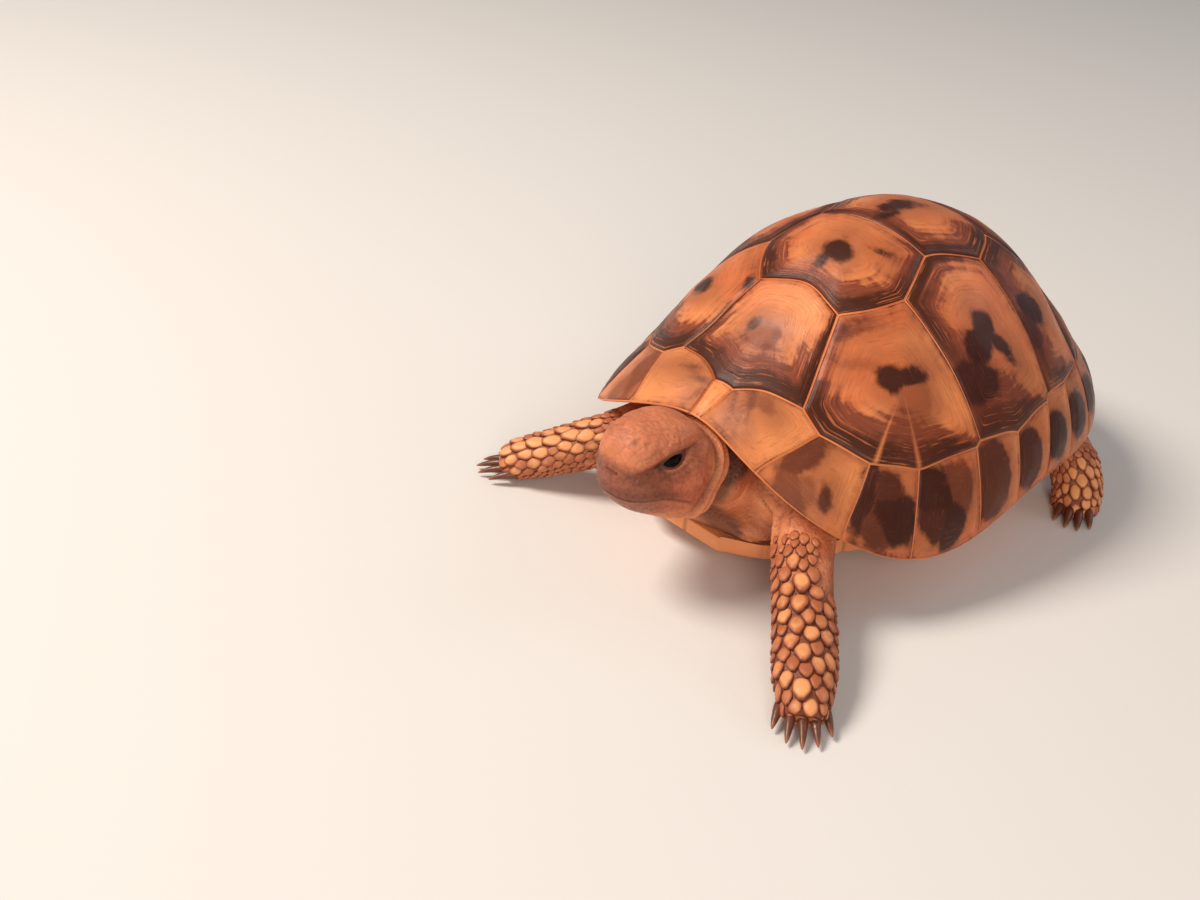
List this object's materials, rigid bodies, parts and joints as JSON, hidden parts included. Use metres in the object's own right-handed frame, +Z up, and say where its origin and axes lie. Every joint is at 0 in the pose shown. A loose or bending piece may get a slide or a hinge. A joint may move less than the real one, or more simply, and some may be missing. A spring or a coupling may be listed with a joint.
{
  "type": "young spur-thighed tortoise figure",
  "caption": "Life-size still model of a young domed tortoise on all fours, head out and left foreleg reaching forward.",
  "frame": {"origin": "on the floor under the middle of the whole box", "axes": "+X to the animal's left, +Y towards its tail, so the head looks along -Y, and +Z up"},
  "size_m": [0.1012, 0.1336, 0.0588],
  "materials": {
    "shell_horn": "satin horn over bone, orange-tan with brown marks",
    "belly_horn": "satin horn, pale orange-yellow",
    "skin": "dry finely scaled skin",
    "limb_scales": "dry overlapping scales on skin",
    "claw_horn": "dark horn",
    "eye": "wet, dark"
  },
  "bodies": {
    "root": {"carapace": "shell_horn", "plastron": "belly_horn", "head": "skin", "lower_jaw": "skin", "neck": "skin", "trunk": "skin", "tail": "skin", "foreleg_left": "limb_scales", "foreleg_right": "limb_scales", "hindleg_left": "limb_scales", "hindleg_right": "limb_scales", "eye_left": "eye", "eye_right": "eye", "claw_forefoot_left_1": "claw_horn", "claw_forefoot_left_2": "claw_horn", "claw_forefoot_left_3": "claw_horn", "claw_forefoot_left_4": "claw_horn", "claw_forefoot_left_5": "claw_horn", "claw_forefoot_right_1": "claw_horn", "claw_forefoot_right_2": "claw_horn", "claw_forefoot_right_3": "claw_horn", "claw_forefoot_right_4": "claw_horn", "claw_forefoot_right_5": "claw_horn", "claw_hindfoot_left_1": "claw_horn", "claw_hindfoot_left_2": "claw_horn", "claw_hindfoot_left_3": "claw_horn", "claw_hindfoot_left_4": "claw_horn", "claw_hindfoot_right_1": "claw_horn", "claw_hindfoot_right_2": "claw_horn", "claw_hindfoot_right_3": "claw_horn", "claw_hindfoot_right_4": "claw_horn"}
  },
  "joints": []
}
